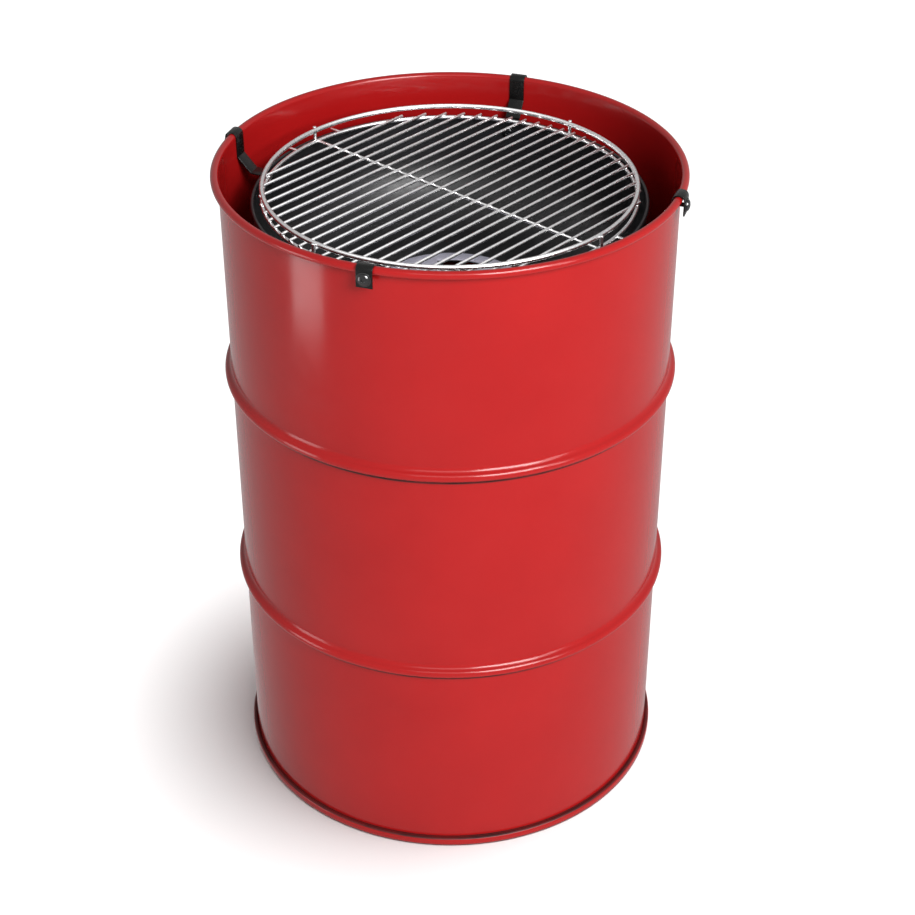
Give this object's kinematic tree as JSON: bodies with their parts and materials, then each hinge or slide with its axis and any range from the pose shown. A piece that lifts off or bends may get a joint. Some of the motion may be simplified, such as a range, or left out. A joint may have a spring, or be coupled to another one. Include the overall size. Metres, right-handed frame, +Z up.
{
  "type": "barrel charcoal grill",
  "caption": "Open-topped steel barrel with a fire bowl hung inside its rim on hooked straps, a turning vent disc and a lift-off round wire cooking grate.",
  "frame": {"origin": "on the barrel's axis, on the floor it stands on", "axes": "+Z up along the barrel's axis; the four hangers lie on +X, +Y, -X and -Y; the front hanger is the one on -Y"},
  "size_m": [0.608, 0.608, 0.882],
  "materials": {
    "barrel_enamel": "gloss",
    "strap_black": "satin",
    "bolt_black": "gloss",
    "bowl_enamel": "gloss",
    "zinc": "satin",
    "vent_steel": "satin",
    "chrome_wire": "polished"
  },
  "bodies": {
    "barrel": {"barrel_shell": "barrel_enamel", "barrel_bottom": "barrel_enamel", "hanger_front": "strap_black", "hanger_right": "strap_black", "hanger_back": "strap_black", "hanger_left": "strap_black", "clamp_screws": "bolt_black", "clamp_washers": "bolt_black", "fire_bowl": "bowl_enamel", "bowl_bolts": "bolt_black", "bowl_washers": "bolt_black", "bowl_nuts": "zinc", "vent_rivet": "zinc"},
    "damper": {"vent_damper": "vent_steel"},
    "cooking_grate": {"grate_upper_ring": "chrome_wire", "grate_lower_ring": "chrome_wire", "grate_bars": "chrome_wire", "grate_cross_bar": "chrome_wire", "grate_posts": "chrome_wire", "grate_rest_lugs": "chrome_wire"}
  },
  "joints": [
    {"name": "damper_turn", "type": "hinge", "parent": "barrel", "child": "damper", "pos_m": [0, 0, 0.7], "axis": [0, 0, 1], "range_deg": [-5, 40]},
    {"name": "grate_lift", "type": "slide", "parent": "barrel", "child": "cooking_grate", "axis": [0, 0, 1], "range_m": [0, 0.3]}
  ]
}
